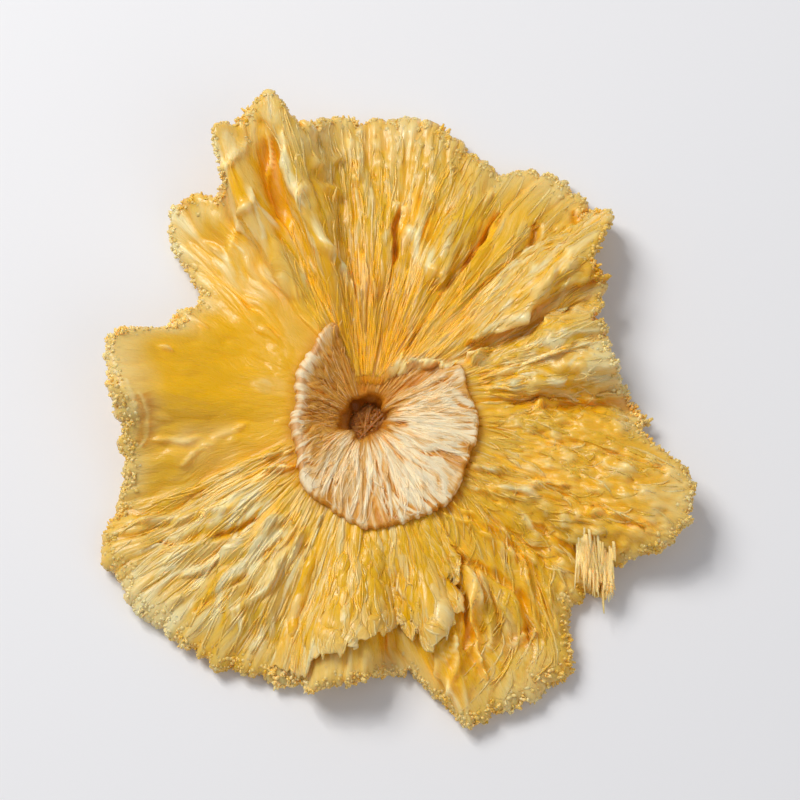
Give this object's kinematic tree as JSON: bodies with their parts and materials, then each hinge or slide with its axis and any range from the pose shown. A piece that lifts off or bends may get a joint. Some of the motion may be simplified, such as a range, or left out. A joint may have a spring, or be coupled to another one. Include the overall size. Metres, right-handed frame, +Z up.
{
  "type": "dried pineapple ring",
  "caption": "Dried slice of pineapple, ruffled and lobed at the rim, with a raised fibrous core and a small hole through its middle; lies flat on a surface.",
  "frame": {"origin": "middle of the bounding box in plan, on the surface that the ring lies on", "axes": "+Z up, out of the shown side; +X to the right and +Y away from the viewer as the ring is shown"},
  "size_m": [0.0698, 0.0764, 0.0111],
  "materials": {
    "dried_flesh": "satin, slightly translucent fibrous fruit flesh"
  },
  "bodies": {
    "root": {"pineapple_ring": "dried_flesh"}
  },
  "joints": []
}
